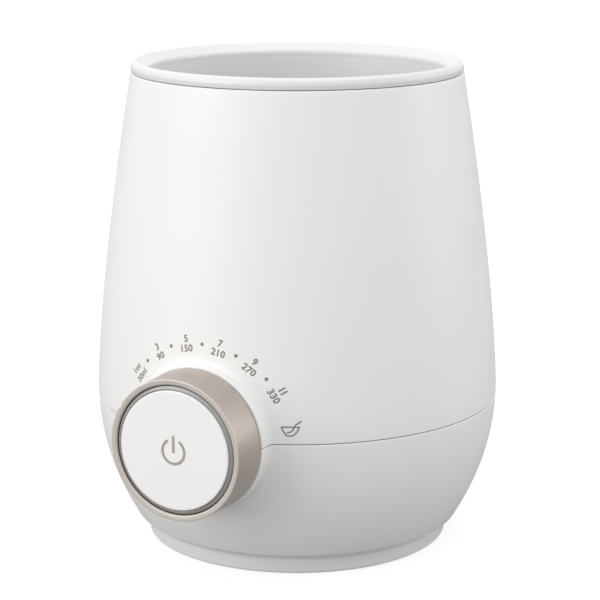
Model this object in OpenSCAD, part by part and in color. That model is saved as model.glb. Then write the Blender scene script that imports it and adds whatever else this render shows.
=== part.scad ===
// Bottle warmer with a turning dial and a push button in the middle of the dial.
// Units are millimetres. +Z is up, the dial faces -Y, and the origin is the centre of the foot
// on the surface that the warmer stands on.

/* [Body] */
// Largest diameter of the body
body_d = 141; // [139:0.5:143]
// Height of the upper shell's top edge
shoulder_z = 163.9; // [162:0.1:166]
// Diameter of the upper shell at its top edge
shoulder_d = 114.6; // [113:0.1:116]
// Height of the seam between the two shells
seam_z = 50.9; // [49:0.1:53]
// Wall thickness of the shells
wall = 2.4; // [2:0.1:2.8]
// Diameter of the recessed foot
foot_d = 106.4; // [106:0.2:108]

/* [Well] */
// Inner diameter of the well at its mouth
well_top_d = 102.6; // [101:0.2:103]
// Inner diameter of the well at its floor
well_floor_d = 84; // [82:0.2:85]
// Wall thickness of the well
well_wall = 1.8; // [1.5:0.1:2]

/* [Dial] */
// Diameter of the dial ring at its base
dial_base_d = 48.1; // [47.5:0.1:49]
// Diameter of the dial ring at its face
dial_face_d = 47.1; // [46.5:0.1:48]
// Distance of the dial ring's face from the body's axis
dial_face_y = 86.3; // [85.5:0.1:87]
// Diameter of the round boss behind the dial
boss_d = 49.2; // [48.8:0.1:50]
// Diameter of the push button
button_d = 39.8; // [39:0.1:39.8]
// Angle from one printed setting to the next
setting_step = 22.4; // [20:0.1:24]
// Pointer's angle at rest, measured from straight up, negative to the left
pointer_angle = -58; // [-60:1:-50]

/* [Hidden] */
$fn = 96;
eps = 0.02;

// Body outline: an upper and a lower power curve that meet at the belly
belly_z = 54;
skirt_z = 8;
skirt_drop = 13.3;
upper_power = 1.41;
lower_power = 2.1;
seam_gap = 0.5;
tongue_h = 1.6;
tongue_t = 1.1;
floor_z = 7.6;
floor_top_z = 10;
floor_hole_r = 44.5;
foot_gap = 0.3;
foot_edge_z = 0.25;
plate_z = 2.2;
plate_top_z = 4.4;
ring_groove_r = 49.9;
ring_hole_r = 42.1;
seam_inner_r = body_d / 2 - wall - 0.1;

// Well
flange_z = 161.5;
flange_top_z = 163.3;
flange_r = 54.8;
well_floor_z = 49.8;
well_ledge_h = 2;
well_hole_r = 37.5;
heater_rim_r = 41.8;
heater_top_z = 50.6;
heater_rim_z = 48.2;
heater_under_z = 46.4;
clamp_z = 44.2;
heater_screw_r = 44.8;
element_r = 26;
element_tube_r = 3.2;
element_z = heater_under_z - element_tube_r - eps;
lead_angle = 20;

// Dial stack: distances along the dial's axis from the body's axis
dial_z = seam_z;
boss_face_y = 72;
boss_back_y = 62.2;
boss_bore_r = 22;
dial_base_y = 72.6;
dial_bore_r = 21.6;
sleeve_r = 19.6;
sleeve_bore_r = 17.6;
sleeve_front_y = 77.9;
sleeve_plate_y = 52.8;
plate_front_y = 55;
gear_y = 58.2;
gear_t = 3.6;
gear_module = 0.9;
gear_teeth = 50;
pinion_teeth = 10;
pinion_distance = gear_module * (gear_teeth + pinion_teeth) / 2;
carrier_front_y = 77.5;
running_gap = 0.06;
button_face_y = 86.6;
button_skirt_y = 81.9;
stem_r = 3;
stem_end_y = 56.2;
board_y = 50;
board_t = 1.6;
ring_outer_r = 21.1;
ring_inner_r = 20.2;
leg_ring_r = 15;
settings = 7;
notch_w = 2.4;
notch_depth = 0.35;
tooth_up = 0.8;
tooth_down = 1.1;
clip_r = 4.6;
detent_r = 21;
detent_nose_r = 1.1;
ear_x = 27.5;
ear_z = 12;
web_y = 60;

// Screws that join the housing
post_circle_r = 49.8;
post_top_z = seam_z + 18;
base_screw_r = 47;
board_x = 29;
board_hole_y = 21;
power_board_z = 10;
power_top_z = power_board_z + board_t;

// Cord entry at the back
gland_z = 24;
gland_bore_r = 3.4;
gland_pad_y = 66.2;
clamp_post_x = 9;
clamp_y = 50;
clamp_bar_z = 27;

function upper_r(z) =
    body_d / 2 - (body_d - shoulder_d) / 2 * pow((z - belly_z) / (shoulder_z - belly_z), upper_power);
function lower_r(z) =
    body_d / 2 - skirt_drop * pow((belly_z - z) / (belly_z - skirt_z), lower_power);
function body_r(z) = z >= belly_z ? upper_r(z) : lower_r(z);
function well_r(z) =
    (well_floor_d + (well_top_d - well_floor_d) * (z - well_floor_z) / (flange_top_z - well_floor_z)) / 2;
function steps(a, b, n) = [for (i = [0:n]) a + (b - a) * i / n];
function outline(a, b, n, inset) = [for (z = steps(a, b, n)) [body_r(z) - inset, z]];
function at_polar(r, a) = [r * cos(a), r * sin(a)];

// Puts its children on the dial's axis: local Z runs out of the front, local Y is up
module on_dial_axis() {
    translate([0, 0, dial_z]) rotate([90, 0, 0]) children();
}

module around(count, first = 0) {
    for (i = [0:count - 1]) rotate([0, 0, first + i * 360 / count]) children();
}

// Mirror pairs and rectangles of whatever is at the origin
module both_sides(x) {
    for (side = [-1, 1]) translate([side * x, 0, 0]) children();
}

module corners(x, y) {
    both_sides(x) for (side = [-1, 1]) translate([0, side * y, 0]) children();
}

module tube(r_out, r_in, h) {
    difference() {
        cylinder(r = r_out, h = h);
        translate([0, 0, -1]) cylinder(r = r_in, h = h + 2);
    }
}

// Pan-head screw standing on its head: the head is under z = 0 and the shank runs up
module screw(head_r, head_h, shank_r, length) {
    difference() {
        union() {
            translate([0, 0, -head_h]) cylinder(r = head_r, h = head_h, $fn = 32);
            cylinder(r = shank_r, h = length, $fn = 32);
        }
        for (a = [0, 90]) rotate([0, 0, a])
            translate([-head_r * 0.6, -head_r * 0.12, -head_h - 1])
                cube([head_r * 1.2, head_r * 0.24, 1 + head_h * 0.5]);
    }
}

// Solid inside the body's outer surface, used to trim posts and ribs
module body_core(inset) {
    rotate_extrude($fn = 128)
        polygon(concat([[0, floor_z]], outline(skirt_z, shoulder_z - 2, 14, inset), [[0, shoulder_z - 2]]));
}

module half_space(above) {
    size = 200;
    bottom = above ? seam_z - seam_gap / 2 : seam_z + seam_gap / 2 - size;
    translate([-size / 2, -size / 2, bottom]) cube(size);
}

module boss() {
    on_dial_axis() rotate_extrude($fn = 128) polygon([
        [boss_bore_r - 1, boss_back_y], [boss_d / 2, boss_back_y],
        [boss_d / 2, boss_face_y - 0.5], [boss_d / 2 - 0.5, boss_face_y],
        [boss_bore_r - 1, boss_face_y],
    ]);
}

module boss_bore() {
    on_dial_axis() translate([0, 0, boss_back_y - 6]) cylinder(r = boss_bore_r, h = 20, $fn = 128);
}

// Posts behind the dial that the sleeve's plate is screwed to: two on each shell
module sleeve_posts() {
    on_dial_axis() corners(ear_x, ear_z) translate([0, 0, plate_front_y])
        cylinder(r = 3.2, h = 16, $fn = 32);
}

module sleeve_post_holes() {
    on_dial_axis() corners(ear_x, ear_z) translate([0, 0, plate_front_y - 1])
        cylinder(r = 1.2, h = 7, $fn = 32);
}

// Four housing posts on a circle, each with a rib that runs out to the wall
module housing_posts(r, bottom, top) {
    around(4, 45) translate([post_circle_r, 0, bottom]) {
        cylinder(r = r, h = top - bottom, $fn = 48);
        translate([0, -1, 0]) cube([25, 2, top - bottom - 2]);
    }
}

module upper_shell() {
    color("whitesmoke") difference() {
        union() {
            rotate_extrude($fn = 128) polygon(concat(
                outline(seam_z, shoulder_z, 22, 0),
                outline(shoulder_z, seam_z, 22, wall)
            ));
            rotate_extrude($fn = 128) polygon([
                [flange_r - 1.2, flange_z - 2], [body_r(flange_z) - wall / 2, flange_z - 2],
                [body_r(flange_z) - wall / 2, flange_z - eps], [flange_r - 1.2, flange_z - eps],
            ]);
            intersection() {
                union() {
                    housing_posts(3.4, seam_z, post_top_z);
                    sleeve_posts();
                }
                body_core(wall / 2);
            }
            boss();
        }
        boss_bore();
        half_space(false);
        // Rebate that takes the lower shell's tongue
        translate([0, 0, seam_z - 1])
            tube(seam_inner_r + tongue_t + 0.15, seam_inner_r - 1, tongue_h + 1.3);
        around(4, 45) translate([post_circle_r, 0, seam_z - 1]) cylinder(r = 1.6, h = 14, $fn = 32);
        sleeve_post_holes();
    }
}

module lower_shell() {
    color("whitesmoke") difference() {
        union() {
            difference() {
                union() {
                    rotate_extrude($fn = 128) polygon(concat(
                        [[floor_hole_r, floor_z], [body_r(skirt_z) - 0.4, floor_z]],
                        outline(skirt_z, seam_z - seam_gap / 2, 18, 0),
                        outline(seam_z - seam_gap / 2, floor_top_z, 18, wall),
                        [[floor_hole_r, floor_top_z]]
                    ));
                    intersection() {
                        union() {
                            housing_posts(5, floor_z, seam_z + 4);
                            around(4) translate([base_screw_r, 0, floor_z])
                                cylinder(r = 3.4, h = 10, $fn = 32);
                            both_sides(clamp_post_x) translate([0, clamp_y, floor_z])
                                cylinder(r = 3, h = clamp_bar_z - floor_z, $fn = 32);
                            sleeve_posts();
                        }
                        body_core(wall / 2);
                    }
                    boss();
                    // Flat pad that the cord gland sits in
                    translate([0, gland_pad_y - 6, gland_z]) rotate([-90, 0, 0])
                        cylinder(r = 8.5, h = 6, $fn = 64);
                }
                boss_bore();
                half_space(true);
            }
            // Tongue that locates the upper shell, left out across the dial boss
            difference() {
                translate([0, 0, seam_z - 4]) tube(seam_inner_r + tongue_t, seam_inner_r, tongue_h + 4);
                translate([-boss_d / 2 - 1, -80, seam_z - 10]) cube([boss_d + 2, 40, 20]);
                around(4, 45) translate([post_circle_r, -2, seam_z - 5]) cube([25, 4, 10]);
            }
        }
        around(4, 45) translate([post_circle_r, 0, floor_z - 1]) {
            cylinder(r = 3.5, h = 19, $fn = 32);
            cylinder(r = 2.1, h = 60, $fn = 32);
        }
        around(4) translate([base_screw_r, 0, floor_z - 1]) cylinder(r = 1.2, h = 9, $fn = 32);
        both_sides(clamp_post_x) translate([0, clamp_y, clamp_bar_z - 9]) cylinder(r = 1.2, h = 10, $fn = 32);
        sleeve_post_holes();
        translate([0, gland_pad_y - 7, gland_z]) rotate([-90, 0, 0]) cylinder(r = 5.2, h = 20, $fn = 64);
        // Spot face outside the pad
        translate([0, gland_pad_y, gland_z]) rotate([-90, 0, 0]) cylinder(r = 8.5, h = 20, $fn = 64);
    }
}

module base_cover() {
    color("whitesmoke") difference() {
        union() {
            rotate_extrude($fn = 128) polygon([
                [0, plate_z], [foot_d / 2 - 2.9, plate_z], [foot_d / 2 - 2.4, foot_edge_z],
                [foot_d / 2 - 0.9, foot_edge_z], [foot_d / 2 - 0.3, foot_edge_z + 0.6],
                [foot_d / 2, floor_z - 2.4], [foot_d / 2 + 0.3, floor_z - 1.2],
                [foot_d / 2 + 1, floor_z - foot_gap], [foot_d / 2 - 2.2, floor_z - foot_gap],
                [foot_d / 2 - 2.4, plate_top_z], [0, plate_top_z],
            ]);
            around(4) translate([base_screw_r, 0, plate_z])
                cylinder(r = 4.2, h = floor_z - foot_gap - plate_z, $fn = 48);
            corners(board_x, board_hole_y) translate([0, 0, plate_top_z - 1])
                cylinder(r = 3, h = power_board_z - plate_top_z + 1, $fn = 32);
        }
        around(4) translate([base_screw_r, 0, 0]) {
            cylinder(r = 1.7, h = 20, $fn = 32);
            cylinder(r = 3.1, h = 5, $fn = 48);
        }
        corners(board_x, board_hole_y) translate([0, 0, plate_top_z]) cylinder(r = 1.1, h = 20, $fn = 32);
        // Drain and vent slots
        around(12, 15) translate([14, -1.25, 0]) cube([14, 2.5, 10]);
        // Groove for the anti-slip ring
        translate([0, 0, -1]) tube(ring_groove_r + 0.1, ring_hole_r - 0.1, plate_z + 1.8);
    }
}

module foot_ring() {
    color("dimgray") tube(ring_groove_r, ring_hole_r, plate_z + 0.75);
}

module rim_ring() {
    crest_r = 55.4;
    crest_z = 168;
    inner_r = well_r(flange_top_z) + 0.1;
    side_r = shoulder_d / 2 - 0.1;
    color("whitesmoke") rotate_extrude($fn = 128) polygon([
        [inner_r, flange_top_z + eps], [flange_r, flange_top_z + eps], [flange_r, shoulder_z + 0.2],
        [side_r - 0.25, shoulder_z + 0.2], [side_r, crest_z - 1.7], [side_r - 0.2, crest_z - 1],
        [side_r - 0.8, crest_z - 0.4], [crest_r, crest_z - 0.03], [crest_r - 0.5, crest_z],
        [inner_r + 1.1, crest_z - 2.05], [inner_r + 0.35, crest_z - 2.9], [inner_r, crest_z - 3.8],
    ]);
}

module water_chamber() {
    color("gainsboro") difference() {
        union() {
            rotate_extrude($fn = 128) polygon([
                [well_hole_r, well_floor_z], [well_r(well_floor_z) + well_wall, well_floor_z],
                [well_r(flange_z) + well_wall, flange_z], [flange_r, flange_z], [flange_r, flange_top_z],
                [well_r(flange_top_z), flange_top_z],
                [well_r(well_floor_z + well_ledge_h), well_floor_z + well_ledge_h],
                [well_hole_r, well_floor_z + well_ledge_h],
            ]);
            difference() {
                around(3, 90) translate([heater_screw_r, 0, heater_under_z])
                    cylinder(r = 2.7, h = 10, $fn = 32);
                cylinder(r = well_r(well_floor_z) + 0.9, h = 80, $fn = 128);
            }
        }
        around(3, 90) translate([heater_screw_r, 0, heater_under_z - 1]) cylinder(r = 1.1, h = 9, $fn = 32);
    }
}

module chamber_gasket() {
    color("firebrick") translate([0, 0, heater_rim_z]) tube(41.6, 38, well_floor_z - heater_rim_z);
}

module heater_plate() {
    color("silver") rotate_extrude($fn = 128) polygon([
        [0, heater_under_z], [heater_rim_r, heater_under_z], [heater_rim_r, heater_rim_z],
        [well_hole_r - 0.3, heater_rim_z], [well_hole_r - 0.3, heater_top_z - 0.4],
        [well_hole_r - 0.7, heater_top_z], [0, heater_top_z],
    ]);
}

module heating_element() {
    color("slategray") translate([0, 0, element_z]) {
        rotate([0, 0, 90 + lead_angle]) rotate_extrude(angle = 360 - 2 * lead_angle)
            translate([element_r, 0]) circle(r = element_tube_r, $fn = 32);
        for (s = [-1, 1]) rotate([0, 0, 90 + s * (lead_angle + 3)])
            translate([element_r, 0, -element_tube_r - 4])
                cylinder(r = 1.6, h = element_tube_r + 4, $fn = 32);
    }
}

module heater_leads() {
    x = element_r * sin(lead_angle + 3);
    y = element_r * cos(lead_angle + 3);
    bottom = power_top_z + 10 + eps;
    color("ivory") for (s = [-1, 1]) translate([s * x, y, bottom])
        cylinder(r = 1.2, h = element_z - element_tube_r - 4 - eps - bottom, $fn = 24);
}

module heater_clamp() {
    thickness = heater_under_z - clamp_z - eps;
    color("lightsteelblue") difference() {
        union() {
            translate([0, 0, clamp_z]) tube(43.2, 38, thickness);
            around(3, 90) translate([heater_screw_r, 0, clamp_z]) cylinder(r = 3.4, h = thickness, $fn = 32);
        }
        around(3, 90) translate([heater_screw_r, 0, clamp_z - 1]) cylinder(r = 1.3, h = 5, $fn = 32);
    }
}

module heater_screws() {
    color("silver") around(3, 90) translate([heater_screw_r, 0, clamp_z - eps]) screw(2.5, 1.7, 1.04, 9);
}

module thermostat() {
    top = heater_under_z - eps;
    color("dimgray") translate([10, 8, 0]) {
        translate([0, 0, top - 8]) cylinder(r = 8, h = 8, $fn = 64);
        both_sides(4) translate([-0.4, -3, top - 16]) cube([0.8, 6, 9]);
    }
}

module thermal_fuse() {
    color("goldenrod") translate([-14, 12, heater_under_z - 2 - eps]) rotate([0, 90, 0]) {
        cylinder(r = 2, h = 12, $fn = 32);
        translate([0, 0, -3]) cylinder(r = 0.5, h = 18, $fn = 24);
    }
}

module temperature_sensor() {
    color("lightgray") translate([-7, -9, heater_under_z - 9 - eps]) {
        cylinder(r = 3, h = 9, $fn = 32);
        translate([0, 0, 2]) cylinder(r = 4.5, h = 1, $fn = 32);
    }
}

module dial_ring() {
    color("rosybrown") on_dial_axis() difference() {
        rotate_extrude($fn = 128) polygon([
            [dial_bore_r, dial_base_y], [dial_base_d / 2 - 0.3, dial_base_y],
            [dial_base_d / 2, dial_base_y + 0.3], [dial_face_d / 2, dial_face_y - 0.5],
            [dial_face_d / 2 - 0.5, dial_face_y], [dial_bore_r + 0.3, dial_face_y],
            [dial_bore_r, dial_face_y - 0.3],
        ]);
        // Pointer notch along the ring's side
        rotate([0, 0, -pointer_angle])
            translate([-notch_w / 2, dial_face_d / 2 - notch_depth, dial_base_y - 1]) cube([notch_w, 3, 20]);
    }
}

// One outline for both gears: straight-sided teeth around a root circle
module gear_outline(teeth, root_r, tip_r, root_half, tip_half, phase) {
    polygon([for (i = [0:teeth - 1], k = [0:3])
        at_polar(k == 0 || k == 3 ? root_r : tip_r,
                 phase + i * 360 / teeth + [-root_half, -tip_half, tip_half, root_half][k])]);
}

module dial_carrier() {
    pitch_r = gear_module * gear_teeth / 2;
    neck_y = gear_y + gear_t + 0.4;
    color("gray") on_dial_axis() difference() {
        union() {
            translate([0, 0, gear_y]) cylinder(r = dial_bore_r - 0.25, h = gear_t + 1, $fn = 128);
            translate([0, 0, neck_y]) cylinder(r = dial_bore_r - eps, h = carrier_front_y - neck_y, $fn = 128);
            translate([0, 0, gear_y]) linear_extrude(gear_t)
                gear_outline(gear_teeth, pitch_r - tooth_down, pitch_r + tooth_up, 1.6, 0.6, 90);
        }
        translate([0, 0, gear_y - 1]) cylinder(r = sleeve_r + running_gap, h = 30, $fn = 128);
        for (i = [0:settings - 1]) rotate([0, 0, i * setting_step])
            translate([0, -detent_r, gear_y - 0.5]) sphere(r = detent_nose_r, $fn = 24);
    }
}

module dial_sleeve() {
    plate_t = plate_front_y - sleeve_plate_y;
    color("darkgray") on_dial_axis() {
        difference() {
            union() {
                translate([0, 0, plate_front_y - 1])
                    cylinder(r = sleeve_r, h = sleeve_front_y - plate_front_y + 1.5, $fn = 128);
                translate([0, 0, sleeve_front_y]) cylinder(r = ring_outer_r, h = 1.1, $fn = 128);
                translate([0, 0, sleeve_plate_y]) cylinder(r = 25, h = plate_t, $fn = 96);
                translate([-ear_x - 3.5, -ear_z - 3.5, sleeve_plate_y])
                    cube([2 * ear_x + 7, 2 * ear_z + 7, plate_t - eps]);
                at_board_holes() translate([0, 0, sleeve_plate_y - 1.15]) cylinder(r = 2.4, h = 2, $fn = 32);
            }
            // Hollow of the sleeve, in front of and behind the web
            translate([0, 0, web_y + 2]) cylinder(r = sleeve_bore_r, h = 30, $fn = 96);
            translate([0, 0, sleeve_plate_y - 2])
                cylinder(r = 16.8, h = web_y - sleeve_plate_y + 2, $fn = 96);
            translate([0, 0, web_y - 5]) cylinder(r = stem_r + running_gap, h = 20, $fn = 48);
            around(4, 45) translate([leg_ring_r, 0, web_y - 2]) cylinder(r = 1.5, h = 8, $fn = 32);
            corners(ear_x, ear_z) translate([0, 0, sleeve_plate_y - 1]) cylinder(r = 1.5, h = 5, $fn = 32);
            at_board_holes() translate([0, 0, sleeve_plate_y - 2]) cylinder(r = 1, h = 3.6, $fn = 24);
            // Notch in the plate that clears the encoder's body
            translate([-6.5, pinion_distance - 4.7, sleeve_plate_y - 1]) cube([13, 5, plate_t + 2]);
        }
        translate([0, 0, web_y - 2]) tube(clip_r, stem_r + running_gap, 10);
    }
}

module sleeve_screws() {
    color("silver") on_dial_axis() corners(ear_x, ear_z)
        translate([0, 0, sleeve_plate_y - eps]) screw(2.6, 1.7, 1.14, 6.5);
}

module detent_spring() {
    color("silver") on_dial_axis() {
        difference() {
            translate([-7, -22.8, plate_front_y + eps]) cube([14, 3, 1.6]);
            translate([-5.5, -23, plate_front_y - 1]) cube([11, 4, 2.2]);
        }
        translate([0, -detent_r, plate_front_y + 1.75]) sphere(r = detent_nose_r, $fn = 24);
    }
}

module light_guide() {
    front_y = 85.7;
    disc_y = sleeve_front_y + 1.12;
    color("lightslategray") on_dial_axis() {
        rotate_extrude($fn = 128) polygon([
            [13.4, disc_y], [ring_outer_r, disc_y], [ring_outer_r, front_y - 0.4],
            [ring_outer_r - 0.15, front_y - 0.2], [ring_inner_r + 0.1, front_y + 0.35],
            [ring_inner_r, front_y + 0.25],
            [ring_inner_r, disc_y + 1.2], [13.4, disc_y + 1.2],
        ]);
        around(4, 45) translate([leg_ring_r, 0, 53.6]) cylinder(r = 1.2, h = disc_y - 53, $fn = 32);
    }
}

module power_button() {
    r = button_d / 2;
    cap_t = 2.2;
    color("white") on_dial_axis() difference() {
        rotate_extrude($fn = 128) polygon([
            [0, button_skirt_y - 2], [4.4, button_skirt_y - 2], [4.4, button_face_y - cap_t],
            [r - 1.6, button_face_y - cap_t], [r - 1.6, button_skirt_y], [r, button_skirt_y],
            [r, button_face_y - 0.8], [r - 0.25, button_face_y - 0.35], [r - 0.8, button_face_y - 0.08],
            [r / 2, button_face_y - 0.02], [0, button_face_y],
        ]);
        translate([0, 0, button_skirt_y - 3]) cylinder(r = stem_r + 0.02, h = 5, $fn = 48);
    }
}

module button_stem() {
    color("white") on_dial_axis() translate([0, 0, stem_end_y])
        cylinder(r = stem_r, h = button_skirt_y + 1.9 - stem_end_y, $fn = 48);
}

module stem_clip() {
    color("silver") on_dial_axis() translate([0, 0, stem_end_y + 0.7]) tube(clip_r, stem_r + eps, 0.7);
}

// Compression spring: a round wire swept along a helix, as one closed skin
module button_spring() {
    coil_r = 5.7;
    wire_r = 0.45;
    turns = 6.5;
    sides = 8;
    rings = 20 * turns;
    from = web_y + 2 + wire_r + 0.05;
    length = button_face_y - 2.2 - from - wire_r - 0.05;
    points = [for (i = [0:rings], k = [0:sides - 1])
        let (a = i * 360 * turns / rings, b = k * 360 / sides, r = coil_r + wire_r * cos(b))
            [r * cos(a), r * sin(a), from + length * i / rings + wire_r * sin(b)]];
    skin = [for (i = [0:rings - 1], k = [0:sides - 1]) let (n = (k + 1) % sides)
        [i * sides + k, i * sides + n, (i + 1) * sides + n, (i + 1) * sides + k]];
    ends = [[for (k = [sides - 1:-1:0]) k], [for (k = [0:sides - 1]) rings * sides + k]];
    color("silver") on_dial_axis() polyhedron(points, concat(skin, ends));
}

module encoder_pinion() {
    pitch_r = gear_module * pinion_teeth / 2;
    color("white") on_dial_axis() translate([0, pinion_distance, gear_y + 0.2]) difference() {
        linear_extrude(gear_t - 0.4)
            gear_outline(pinion_teeth, pitch_r - tooth_down, pitch_r + tooth_up, 11, 4,
                         90 + 180 / pinion_teeth);
        translate([0, 0, -1]) cylinder(r = 1.5 + eps, h = 10, $fn = 32);
    }
}

module encoder_shaft() {
    color("silver") on_dial_axis() translate([0, pinion_distance, 54]) cylinder(r = 1.5, h = 8.4, $fn = 32);
}

module rotary_encoder() {
    color("seagreen") on_dial_axis() translate([0, pinion_distance, board_y + board_t + eps]) difference() {
        union() {
            translate([-6, -4.2, 0]) cube([12, 9, 4.2]);
            cylinder(r = 3, h = 5.6, $fn = 32);
        }
        translate([0, 0, 1.6]) cylinder(r = 1.5 + running_gap, h = 8, $fn = 32);
    }
}

module tactile_switch() {
    color("dimgray") on_dial_axis() {
        translate([-3, -3, board_y + board_t + eps]) cube([6, 6, 2.2]);
        translate([0, 0, board_y + board_t + 2]) cylinder(r = 1.7, h = 1.2, $fn = 32);
    }
}

module status_leds() {
    color("khaki") on_dial_axis() around(4, 45)
        translate([leg_ring_r - 1, -1.5, board_y + board_t + eps]) cube([2, 3, 1.3]);
}

module at_board_holes() {
    both_sides(18) for (y = [-18, 20]) translate([0, y, 0]) children();
}

module control_board() {
    color("darkgreen") on_dial_axis() difference() {
        translate([-22, -21, board_y]) cube([44, 56, board_t]);
        at_board_holes() translate([0, 0, board_y - 1]) cylinder(r = 1.3, h = 4, $fn = 24);
    }
}

module control_chip() {
    color("black") on_dial_axis() {
        translate([-18, 25, board_y + board_t + eps]) cube([8, 8, 1.2]);
        translate([11, 26, board_y + board_t + eps]) cube([5, 6, 1.2]);
    }
}

module control_board_screws() {
    color("silver") on_dial_axis() at_board_holes() translate([0, 0, board_y - eps]) screw(2, 1.2, 0.94, 4.2);
}

module ribbon_cable() {
    bend = 5;
    ribbon_w = 12;
    low = 19;
    turn_y = bend + 1 - board_y + eps;
    plug_y = -26.5;
    color("lightgray") {
        translate([-ribbon_w / 2, eps - board_y, low + bend + 1]) cube([ribbon_w, 1, 37 - low - bend]);
        translate([-ribbon_w / 2, turn_y, low + bend + 1]) rotate([0, 90, 0]) rotate([0, 0, -90])
            rotate_extrude(angle = 90) translate([bend, 0]) square([1, ribbon_w]);
        translate([-ribbon_w / 2, turn_y - eps, low]) cube([ribbon_w, plug_y - turn_y + 2, 1]);
        translate([-ribbon_w / 2 - 1, plug_y + 1.7, power_top_z + eps])
            cube([ribbon_w + 2, 5, low + 1 - power_top_z]);
    }
}

module power_board() {
    color("darkgreen") difference() {
        translate([-32, -25, power_board_z + eps]) cube([64, 50, board_t - eps]);
        corners(board_x, board_hole_y) translate([0, 0, power_board_z - 1])
            cylinder(r = 1.4, h = 4, $fn = 24);
    }
}

module power_board_screws() {
    color("silver") corners(board_x, board_hole_y)
        translate([0, 0, power_top_z + eps]) rotate([180, 0, 0]) screw(2.3, 1.5, 1.04, 6);
}

module relay() {
    color("royalblue") translate([-25, -12, power_top_z + eps]) cube([19, 15.5, 15]);
}

module mains_converter() {
    color("black") translate([1, -16, power_top_z + eps]) cube([24, 20, 15]);
}

module capacitor() {
    color("darkslateblue") translate([-18, 12, power_top_z + eps]) cylinder(r = 5, h = 18, $fn = 48);
}

module terminal_block() {
    color("seagreen") difference() {
        translate([-13, 18, power_top_z + eps]) cube([26, 7, 10]);
        for (x = [-6.5, 0, 6.5]) translate([x, 17, power_top_z + 3])
            rotate([-90, 0, 0]) cylinder(r = 1.6, h = 4, $fn = 32);
    }
}

module board_fuse() {
    color("lightyellow") translate([16, 12, power_top_z + 3.5]) {
        rotate([0, 90, 0]) cylinder(r = 2.6, h = 12, $fn = 32);
        for (x = [0, 10]) translate([x, -2, -3.5 + eps]) cube([2, 4, 3]);
    }
}

module shell_screws() {
    color("silver") around(4, 45)
        translate([post_circle_r, 0, floor_z + 18 - eps]) screw(3.2, 2.4, 1.54, 36);
}

module base_screws() {
    color("silver") around(4) translate([base_screw_r, 0, 5 - eps]) screw(2.8, 1.8, 1.14, 9);
}

module cord_gland() {
    color("dimgray") translate([0, 0, gland_z]) rotate([-90, 0, 0]) difference() {
        union() {
            translate([0, 0, gland_pad_y + eps]) cylinder(r = 7.4, h = 1.8, $fn = 64);
            translate([0, 0, gland_pad_y - 7]) cylinder(r = 5.1, h = 8, $fn = 64);
            translate([0, 0, gland_pad_y - 7.8]) cylinder(r = 6.6, h = 1.7, $fn = 64);
        }
        translate([0, 0, gland_pad_y - 20]) cylinder(r = gland_bore_r, h = 40, $fn = 64);
    }
}

module cord_clamp() {
    color("darkgray") difference() {
        translate([-12.5, clamp_y - 3.5, clamp_bar_z + eps]) cube([25, 7, 3]);
        both_sides(clamp_post_x) translate([0, clamp_y, clamp_bar_z - 1]) cylinder(r = 1.4, h = 6, $fn = 32);
    }
}

module clamp_screws() {
    color("silver") both_sides(clamp_post_x)
        translate([0, clamp_y, clamp_bar_z + 3 + 2 * eps]) rotate([180, 0, 0]) screw(2.6, 1.7, 1.14, 10);
}

upper_shell();
lower_shell();
base_cover();
foot_ring();
rim_ring();
water_chamber();
chamber_gasket();
heater_plate();
heating_element();
heater_clamp();
heater_screws();
thermostat();
thermal_fuse();
temperature_sensor();
heater_leads();
dial_ring();
dial_carrier();
dial_sleeve();
sleeve_screws();
detent_spring();
light_guide();
power_button();
button_stem();
stem_clip();
button_spring();
encoder_pinion();
encoder_shaft();
rotary_encoder();
tactile_switch();
status_leds();
control_board();
control_chip();
control_board_screws();
ribbon_cable();
power_board();
relay();
mains_converter();
capacitor();
terminal_block();
board_fuse();
power_board_screws();
shell_screws();
base_screws();
cord_gland();
cord_clamp();
clamp_screws();
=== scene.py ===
import math

import bmesh
import bpy
import numpy as np
from mathutils import Matrix, Vector


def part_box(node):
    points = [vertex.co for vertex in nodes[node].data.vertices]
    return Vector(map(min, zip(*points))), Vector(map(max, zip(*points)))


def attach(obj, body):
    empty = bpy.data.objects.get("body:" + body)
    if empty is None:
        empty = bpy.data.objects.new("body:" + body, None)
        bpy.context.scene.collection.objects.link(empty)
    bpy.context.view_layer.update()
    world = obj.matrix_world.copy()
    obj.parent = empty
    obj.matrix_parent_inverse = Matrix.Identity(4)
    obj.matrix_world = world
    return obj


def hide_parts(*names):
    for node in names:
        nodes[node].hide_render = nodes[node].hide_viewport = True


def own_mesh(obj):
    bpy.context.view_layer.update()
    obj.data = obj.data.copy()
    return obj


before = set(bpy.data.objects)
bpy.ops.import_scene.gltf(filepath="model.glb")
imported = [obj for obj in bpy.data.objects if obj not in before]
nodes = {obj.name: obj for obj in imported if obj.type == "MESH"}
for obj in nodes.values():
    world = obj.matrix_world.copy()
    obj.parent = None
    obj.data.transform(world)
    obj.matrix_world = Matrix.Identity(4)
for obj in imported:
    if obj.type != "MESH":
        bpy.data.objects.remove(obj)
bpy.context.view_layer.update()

# ------------------------------------------------------------------ sizes in mm, as in the CAD model
BODY_R = 70.5
BELLY_Z, SHOULDER_Z, SHOULDER_R = 54.0, 163.9, 57.3
SKIRT_Z, SKIRT_DROP = 8.0, 13.3
SEAM_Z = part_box("dial_ring")[0].z * 500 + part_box("dial_ring")[1].z * 500
SEAM_HALF = 0.13
WALL = 2.4
BOSS_R, BOSS_BORE_R, BOSS_FACE, BOSS_BACK = 24.6, 22.0, 72.0, 62.2
BOSS_FILLET = 2.2
FOOT_R, FLOOR_Z, FLOOR_TOP_Z, FLOOR_HOLE_R = 53.2, 7.6, 10.0, 44.5
PLATE_Z, PLATE_TOP_Z, GROOVE_IN_R, GROOVE_OUT_R = 2.2, 4.4, 42.0, 50.0
CREST_R, CREST_Z, SEAT_Z = 55.4, 168.08, 164.12
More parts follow.
